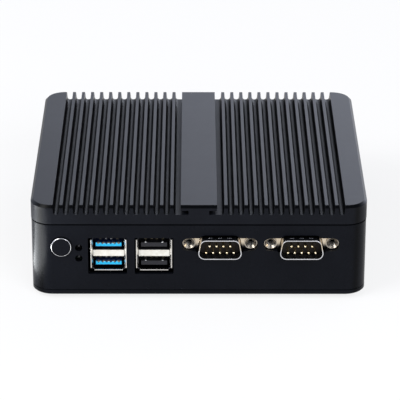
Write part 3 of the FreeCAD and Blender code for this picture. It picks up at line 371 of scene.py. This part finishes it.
def cheeks(tree, place, look):
    # a painted highlight on the cheeks of a serial flange, between the collar and its two inserts
    x, _, z = spots(tree, place)
    bands = []
    for port in look["ports"]:
        reach = maths(tree, "ABSOLUTE", maths(tree, "SUBTRACT", x, middleOf(port)[0] * mm))
        inner, outer = (between(tree, reach, *look[side]) for side in ("inner", "outer"))
        bands.append(maths(tree, "MULTIPLY", inner, outer))
    return maths(tree, "MULTIPLY", larger(tree, *bands), between(tree, z, *look["rise"]))


plating = {
    "cloud": 4.0,  # mm across
    "drawn": (1.0, 0.12, 1.0),  # the streaks run front to back
    "streak": 0.5,  # mm across
    "streakRoughness": (-0.05, 0.07),
    "ripple": 0.9,  # mm across
    "rippleDepth": 0.003,  # mm
}


def plated(name, dark, light, roughness, edge, paintedShade=(), flange=None):
    # edge is mm, and flange is the look of the painted highlight on a serial flange's cheeks
    finish, tree, body, place = newFinish(name)
    skin = blend(tree, mottled(tree, place, plating["cloud"]), dark, light)
    # each painted-shade entry darkens the metal over a stretch of one axis
    for axis, low, high, colour in paintedShade:
        skin = blend(tree, between(tree, spots(tree, place)[axis], low, high), skin, colour)
    if flange:
        skin = blend(tree, cheeks(tree, place, flange), skin, flange["colour"])
    drawn = addNode(tree, "ShaderNodeMapping", {"Vector": place, "Scale": plating["drawn"]}).outputs[0]
    smooth, rough = (roughness + change for change in plating["streakRoughness"])
    ripple = noise(tree, place, plating["ripple"])
    setInputs(tree, body, {
        "Base Color": skin,
        "Metallic": 1.0,
        "Roughness": uneven(tree, drawn, plating["streak"], smooth, rough),
        "Normal": relief(tree, ripple, plating["rippleDepth"], softEdge(tree, edge)),
    })
    return finish


def tongueTeeth(tree, place, look):
    # the front of a contact tongue in its own bright colour, notched between the contacts; the rest of the
    # tongue keeps its painted shade
    x, y, z = spots(tree, place)
    shift = maths(tree, "SUBTRACT", x, look["middle"] * mm)
    notch = maths(tree, "PINGPONG", shift, look["pitch"] / 2 * mm)
    notch = maths(tree, "MULTIPLY", notch, look["notch"] * 2 / look["pitch"])
    fronts = []
    for low, high in look["decks"]:
        below = maths(tree, "LESS_THAN", maths(tree, "ADD", z, notch), high * mm)
        fronts.append(maths(tree, "MULTIPLY", below, maths(tree, "GREATER_THAN", z, low * mm)))
    inside = maths(tree, "LESS_THAN", maths(tree, "ABSOLUTE", shift), look["half"] * mm)
    shown = maths(tree, "MULTIPLY", larger(tree, *fronts), inside)
    return maths(tree, "MULTIPLY", shown, maths(tree, "LESS_THAN", y, look["front"] * mm))


moulding = {
    "cloud": 3.0,  # mm across
    "patch": 1.2,  # mm across
    "patchRoughness": (-0.05, 0.05),
    "grain": 0.25,  # mm across
    "grainDepth": 0.004,  # mm
    "edge": 0.08,  # mm
    "shadow": (0.01, 0.01, 0.012),
}


def moulded(name, dark, light, roughness, specular=0.5, teeth=None, deep=None):
    # deep is the stretch of y over which the plastic goes into shadow
    finish, tree, body, place = newFinish(name)
    skin = blend(tree, mottled(tree, place, moulding["cloud"]), dark, light)
    if deep:
        skin = blend(tree, between(tree, spots(tree, place)["Y"], *deep), skin, moulding["shadow"])
    if teeth:
        skin = blend(tree, tongueTeeth(tree, place, teeth), skin, teeth["bright"])
    smooth, rough = (roughness + change for change in moulding["patchRoughness"])
    grain = noise(tree, place, moulding["grain"])
    setInputs(tree, body, {
        "Base Color": skin,
        "Roughness": uneven(tree, place, moulding["patch"], smooth, rough),
        "Specular IOR Level": specular,
        "Normal": relief(tree, grain, moulding["grainDepth"], softEdge(tree, moulding["edge"])),
    })
    return finish


coverLook = {
    "dark": (0.0042, 0.0049, 0.0074),
    "light": (0.0058, 0.0067, 0.0098),
    # painted shade on chamfers, slopes and groove walls
    "paintedSlopeShade": (0.0004, 0.0006, 0.0012),
    "roughness": 0.27,
    "hollow": (37.6, 40.9),  # mm of height between the groove floors and the fin tops
    "hollowRoughness": 0.41,
    "specular": 0.1,
    "edge": 0.1,  # mm
}
housingLook = {
    "dark": (0.0036, 0.0042, 0.0064),
    "light": (0.0048, 0.0056, 0.0082),
    # painted shade on chamfers, slopes and groove walls
    "paintedSlopeShade": (0.0010, 0.0013, 0.0022),
    "roughness": 0.25,
    "specular": 0.075,
    "edge": 0.12,  # mm
}
buttonLook = {**housingLook, "edge": 0.05}

# where a metal is painted darker as shade: (axis, from mm, to mm, colour)
# painted shade deeper inside the socket mouths and along the sockets' tops
socketPaintedShade = (("Y", -61.1, -60.6, (0.06, 0.06, 0.07)), ("Z", 26.2, 26.6, (0.05, 0.05, 0.06)))
# painted shade on the collar behind its front rim, and on the flange recessed behind the panel
collarPaintedShade = (("Y", -65.3, -64.9, (0.20, 0.20, 0.215)), ("Y", -61.4, -60.9, (0.02, 0.02, 0.022)))

# heights of the fronts of a socket's lower and upper tongue
decks = ((14.75, 16.38), (22.87, 24.58))
usb3Teeth = {
    "middle": middleOf("usb3_shell")[0],
    "half": 5.2,  # half the width that is notched
    "pitch": 1.65,
    "notch": 0.95,  # depth of a notch
    "front": -60.1,  # the y behind which the tongue keeps its painted shade
    "decks": decks,
    "bright": (0.012, 0.43, 0.72),
}
usb2Teeth = {
    "middle": middleOf("usb2_shell")[0],
    "half": 5.2,
    "pitch": 2.5,
    "notch": 0.5,
    "front": -60.1,
    "decks": decks,
    "bright": (0.009, 0.009, 0.013),
}

print("finishes")
finishes = {
    "anodised_cover": blastedAnodise("coverAnodise", coverLook),
    "anodised_housing": blastedAnodise("housingAnodise", housingLook),
    "button_metal": blastedAnodise("buttonMetal", buttonLook),
    "tin_plate": plated("brightTin", (0.78, 0.75, 0.70), (0.86, 0.84, 0.80), 0.24, 0.05, socketPaintedShade),
    "steel": plated("zincSteel", (0.55, 0.56, 0.58), (0.64, 0.65, 0.66), 0.3, 0.05),
    "black_screw": plated("blackScrew", (0.03, 0.03, 0.032), (0.05, 0.05, 0.054), 0.35, 0.05),
    "gold_contact": plated("flashGold", (0.90, 0.74, 0.44), (0.96, 0.84, 0.60), 0.2, 0.04),
    "aluminium_can": plated("aluminiumCan", (0.72, 0.72, 0.73), (0.8, 0.8, 0.81), 0.28, 0.05),
    "divider_plate": moulded("creamPlate", (0.72, 0.68, 0.58), (0.82, 0.79, 0.70), 0.5, deep=(-60.5, -60.3)),
    # both tongues are painted darker as shade behind their notched fronts, which keep their own colour
    "blue_plastic": moulded(
        "signalBlue", (0.003, 0.010, 0.045), (0.004, 0.016, 0.065), 0.42, specular=0.4, teeth=usb3Teeth),
    "grey_plastic": moulded(
        "greyNylon", (0.004, 0.004, 0.005), (0.007, 0.007, 0.009), 0.45, specular=0.4, teeth=usb2Teeth),
    "dark_plastic": moulded("darkNylon", (0.010, 0.008, 0.006), (0.014, 0.011, 0.009), 0.45),
    "ivory_plastic": moulded("ivoryNylon", (0.62, 0.57, 0.45), (0.68, 0.64, 0.52), 0.45),
    "circuit_board": moulded("boardMask", (0.005, 0.05, 0.02), (0.008, 0.07, 0.03), 0.35),
    "chip": moulded("epoxyChip", (0.012, 0.012, 0.013), (0.02, 0.02, 0.022), 0.5),
    "thermal_gel": moulded("thermalGel", (0.35, 0.37, 0.42), (0.42, 0.44, 0.5), 0.7),
    "foot_rubber": moulded("footRubber", (0.012, 0.012, 0.012), (0.02, 0.02, 0.02), 0.75),
    "lamp_lens": moulded("lampLens", (0.004, 0.004, 0.005), (0.008, 0.008, 0.009), 0.15),
}
collarPlate = plated(
    "collarPlate", (0.62, 0.62, 0.64), (0.72, 0.72, 0.74), 0.2, 0.08, collarPaintedShade, flangeCheekHighlight)
insertPlate = plated("insertNickel", (0.38, 0.34, 0.28), (0.48, 0.43, 0.36), 0.24, 0.08)
rearPlate = plated("rearShellTin", (0.66, 0.65, 0.63), (0.76, 0.75, 0.73), 0.26, 0.08)
bronzeNylon = moulded("bronzeNylon", (0.010, 0.007, 0.004), (0.016, 0.011, 0.006), 0.5, specular=0.25)

# nodes that look different from the rest of their slot
ownFinish = {
    "com1_shell": collarPlate,
    "com2_shell": collarPlate,
    "com1_inserts": insertPlate,
    "com2_inserts": insertPlate,
    "com1_insulator": bronzeNylon,
    "com2_insulator": bronzeNylon,
    "lan1_shell": rearPlate,
    "lan2_shell": rearPlate,
    "video_shell": rearPlate,
    "power_inlet_pin": rearPlate,
}
for part in frame["record"]["subparts"]:
    materials = frame["nodes"][part["node"]].data.materials
    materials.clear()
    materials.append(ownFinish.get(part["node"], finishes[part["material_slot"]]))


def lathe(name, profile, middle, sides):
    # profile is (radius, y) in mm, turned about a line from front to back at middle, its (x, z)
    form = bmesh.new()
    x, z = middle
    loops = []
    for side in range(sides):
        turn = math.tau * side / sides
        loops.append([cornerAt(form, x + radius * math.cos(turn), y, z + radius * math.sin(turn))
                      for radius, y in profile])
    for first, second in zip(loops, loops[1:] + loops[:1]):
        bridge(form, first, second)
    bmesh.ops.recalc_face_normals(form, faces=form.faces)
    return asPiece(form, name)


def sweepStrip(name, places, leaf):
    # a leaf of sheet metal at each (x, z) in places, with its path as (y, rise)
    form = bmesh.new()
    path, half = leaf["path"], leaf["width"] / 2
    for x, z in places:
        rows = []
        for n, (y, rise) in enumerate(path):
            before, after = path[max(n - 1, 0)], path[min(n + 1, len(path) - 1)]
            run = Vector((after[0] - before[0], after[1] - before[1])).normalized()
            side = Vector((-run.y, run.x)) * leaf["thick"] / 2
            rows.append([cornerAt(form, x + out, y + side.x * face, z + rise + side.y * face)
                         for out, face in ((-half, -1), (half, -1), (half, 1), (-half, 1))])
        for first, second in zip(rows, rows[1:]):
            bridge(form, first, second)
        form.faces.new(rows[0])
        form.faces.new(rows[-1][::-1])
    bmesh.ops.recalc_face_normals(form, faces=form.faces)
    return asPiece(form, name)


def fit(piece, finish, body):
    piece.data.materials.append(finish)
    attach(piece, body)


print("button ring")
buttonRing = {
    "outer": 4.13,
    "inner": 3.84,
    "proud": 0.035,  # mm in front of the button's face
    "depth": 0.35,
    "skirt": 0.03,
    "shoulder": (0.12, 0.08),  # how far inside the rim and behind the front the outer slope ends
    "lip": 0.08,  # width of the flat front
    "mouth": (0.02, 0.03),  # the chamfer inside, across and back
    "sides": 96,
}


def ringProfile(ring, front):
    outer, inner, back = ring["outer"], ring["inner"], front + ring["depth"]
    inside, behind = ring["shoulder"]
    bore, mouth = inner - ring["mouth"][0], front + ring["mouth"][1]
    return [(outer, back), (outer, back - ring["skirt"]), (outer - inside, front + behind),
            (inner + ring["lip"], front), (inner, front), (bore, mouth), (bore, back)]


ringFinish = plated("turnedRing", (0.80, 0.80, 0.82), (0.88, 0.88, 0.90), 0.2, 0.03)
x, _, z = middleOf("power_button")
profile = ringProfile(buttonRing, frontOf("power_button") - buttonRing["proud"])
fit(lathe("buttonRing", profile, (x, z), buttonRing["sides"]), ringFinish, "button")

print("port springs")
portSprings = {
    # heights are those of a leaf's foot, and path is (y, rise) along the leaf
    "usb3Springs": {
        "socket": "usb3_shell",
        "offsets": (-1.0, 1.0),
        "heights": (26.6, 18.52),
        "width": 0.8,
        "thick": 0.14,
        "path": [(-60.3, -0.1), (-60.0, -0.5), (-59.6, -0.95), (-59.2, -1.15), (-58.6, -1.1), (-57.6, -0.7),
                 (-56.0, -0.3), (-54.6, -0.1)],
    },
    "usb2Tips": {
        "socket": "usb2_shell",
        "offsets": (-3.4, 3.4),
        "heights": (24.68, 16.48),
        "width": 0.6,
        "thick": 0.14,
        "path": [(-60.2, -0.25), (-60.1, 0.0), (-59.8, 0.12), (-59.2, 0.12), (-58.6, 0.02)],
    },
}
springFinish = plated("springTin", (0.84, 0.83, 0.80), (0.92, 0.91, 0.88), 0.3, 0.03)
for name, leaf in portSprings.items():
    middle = middleOf(leaf["socket"])[0]
    places = [(middle + offset, height) for offset in leaf["offsets"] for height in leaf["heights"]]
    fit(sweepStrip(name, places, leaf), springFinish, "case")

print("insert threads")
threadCut = {
    "inset": 2.6,  # from an insert's outer edge to its middle
    "start": 0.915,  # behind the insert's front
    "root": 1.41,
    "crest": 1.24,
    "pitch": 0.45,
    "turns": 9,
    "flanks": (0.03, 0.2, 0.25, 0.42),  # where a turn leaves the root, is at the crest, leaves it, is back
    "backing": 0.02,  # how far outside the root its two ends are
    "sides": 48,
}
threadFinish = plated("cutThread", (0.30, 0.29, 0.27), (0.38, 0.37, 0.35), 0.35, 0.03)


def threadProfile(cut, start):
    root, crest, outside = cut["root"], cut["crest"], cut["root"] + cut["backing"]
    foot, peak, fall, heel = cut["flanks"]
    run = [(outside, start)]
    for turn in range(cut["turns"]):
        base = start + turn * cut["pitch"]
        run += [(root, base + foot), (crest, base + peak), (crest, base + fall), (root, base + heel)]
    run.append((outside, start + cut["turns"] * cut["pitch"]))
    return run


for port in ("com1", "com2"):
    inserts = port + "_inserts"
    low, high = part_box(inserts)
    profile = threadProfile(threadCut, frontOf(inserts) + threadCut["start"])
    height = middleOf(inserts)[2]
    for side, edge, way in (("Left", low, 1), ("Right", high, -1)):
        x = edge[0] / mm + way * threadCut["inset"]
        piece = lathe(port + "Thread" + side, profile, (x, height), threadCut["sides"])
        fit(piece, threadFinish, "case")

print("collar dimples")
collarDimples = {
    "offsets": (-3.8, 0.0, 3.8),
    "top": 27.64,
    "bottom": 19.26,
    "y": -62.8,
    "size": (1.0, 0.55, 0.13),  # half length, half width and rise
    "sides": 24,
    "rings": 5,
}


def dimple(form, look, x, z, rise):
    # a shallow bump on an oval foot at height z
    y, (half, narrow, _) = look["y"], look["size"]
    turns = [math.tau * side / look["sides"] for side in range(look["sides"])]
    rings = []
    for step in range(look["rings"]):
        lift = math.pi / 2 * step / look["rings"]
        wide, deep, up = half * math.cos(lift), narrow * math.cos(lift), rise * math.sin(lift)
        rings.append([cornerAt(form, x + wide * math.cos(turn), y + deep * math.sin(turn), z + up)
                      for turn in turns])
    form.faces.new(rings[0])
    for low, high in zip(rings, rings[1:]):
        bridge(form, low, high)
    closeFan(form, rings[-1], cornerAt(form, x, y, z + rise))


def dimples(name, middle, look):
    # the pressed bumps that grip the plug, over and under a collar
    form = bmesh.new()
    rise = look["size"][2]
    for offset in look["offsets"]:
        dimple(form, look, middle + offset, look["top"], rise)
        dimple(form, look, middle + offset, look["bottom"], -rise)
    bmesh.ops.recalc_face_normals(form, faces=form.faces)
    piece = asPiece(form, name)
    piece.data.shade_smooth()
    return piece


dimpleFinish = plated("dimpleTin", (0.36, 0.36, 0.37), (0.44, 0.44, 0.45), 0.25, 0.03)
for port in ("com1", "com2"):
    piece = dimples(port + "Dimples", middleOf(port + "_shell")[0], collarDimples)
    fit(piece, dimpleFinish, "case")

print("link lights")
linkLights = {
    "offset": 5.3,  # mm to either side of the socket's middle
    "height": 17.2,
    "size": (2.6, 1.5),
    "face": (64.7, 64.97),  # y of its hidden and of its outer face
    "round": 0.12,
    "steps": 3,
}


def lightWindow(name, x, z, look):
    form = bmesh.new()
    bmesh.ops.create_cube(form, size=1.0)
    (wide, tall), (hidden, outer) = look["size"], look["face"]
    for point in form.verts:
        point.co = Vector((x + point.co.x * wide, (hidden + outer) / 2 + point.co.y * (outer - hidden),
                           z + point.co.z * tall)) * mm
    edges = form.edges[:]
    bmesh.ops.bevel(form, geom=edges, offset=look["round"] * mm, segments=look["steps"], affect="EDGES")
    return asPiece(form, name)


linkAmber = moulded("linkAmber", (0.52, 0.26, 0.04), (0.62, 0.33, 0.06), 0.25)
linkGreen = moulded("linkGreen", (0.07, 0.34, 0.10), (0.10, 0.42, 0.14), 0.25)
for port in ("lan1", "lan2"):
    middle = middleOf(port + "_shell")[0]
    for label, side, finish in (("Amber", -1, linkAmber), ("Green", 1, linkGreen)):
        place = middle + side * linkLights["offset"]
        fit(lightWindow(port + label, place, linkLights["height"], linkLights), finish, "case")

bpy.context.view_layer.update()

scene = bpy.context.scene
scene.view_settings.view_transform = "Standard"
print("done")
